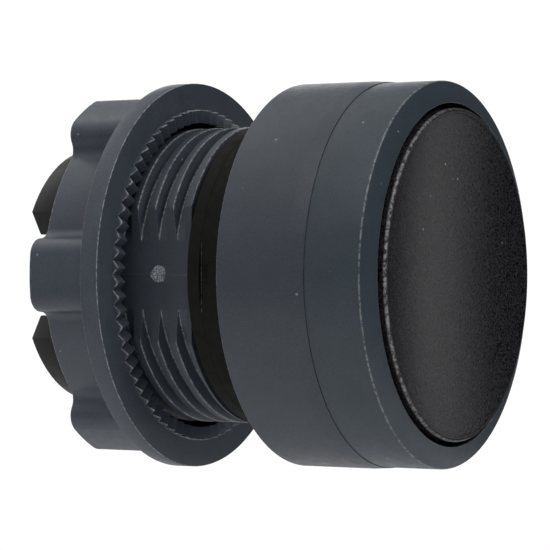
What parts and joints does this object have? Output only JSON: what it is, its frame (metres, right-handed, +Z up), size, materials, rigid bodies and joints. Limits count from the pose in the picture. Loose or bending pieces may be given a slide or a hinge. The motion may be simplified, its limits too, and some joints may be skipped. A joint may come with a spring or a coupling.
{
  "type": "push button head",
  "caption": "Flush spring-return push button head for a round panel hole, with bezel, gasket, threaded neck and lobed fixing nut.",
  "frame": {"origin": "centre of the seat plane, where the bezel's rear face meets the panel, on the button's axis", "axes": "+Y along the button's axis from the cap to the screw neck, so the button faces -Y; +Z up; +X to the right for a person who looks at the cap"},
  "size_m": [0.0288, 0.0312, 0.0288],
  "materials": {
    "housing": "satin dark slate moulding",
    "bezel": "satin dark slate moulding",
    "cap": "fine leather-like texture",
    "nut": "smooth satin slate moulding",
    "guide": "smooth black moulding",
    "inner": "smooth grey moulding",
    "gasket": "moulded rubber, slightly brown black",
    "seal": "soft rubber",
    "steel": "bright spring steel"
  },
  "bodies": {
    "housing": {"threaded_housing": "housing", "bezel_ring": "bezel", "bezel_o_ring": "seal", "wiper_seal": "seal", "seal_retainer": "inner", "spring_seat_washer": "steel", "rear_guide": "guide", "guide_snap_ring": "steel", "return_spring": "steel"},
    "button": {"push_cap": "cap", "cap_carrier": "inner", "plunger": "guide"},
    "gasket": {"panel_gasket": "gasket"},
    "nut": {"fixing_nut": "nut"}
  },
  "joints": [
    {"name": "button_press", "type": "slide", "parent": "housing", "child": "button", "axis": [0, 1, 0], "range_m": [0, 0.0043], "stiffness_N_per_m": 340, "springref_m": -0.0041, "deforming": ["return_spring"]},
    {"name": "nut_turn", "type": "hinge", "parent": "housing", "child": "gasket", "pos_m": [0, 0, 0], "axis": [0, 1, 0], "range_deg": [-1920, 360]},
    {"name": "nut_travel", "type": "slide", "parent": "gasket", "child": "nut", "axis": [0, 1, 0], "range_m": [-0.008, 0.0015]}
  ],
  "couplings": [
    {"joint": "nut_travel", "follows": "nut_turn", "m_per_rad": 0.00023873}
  ]
}
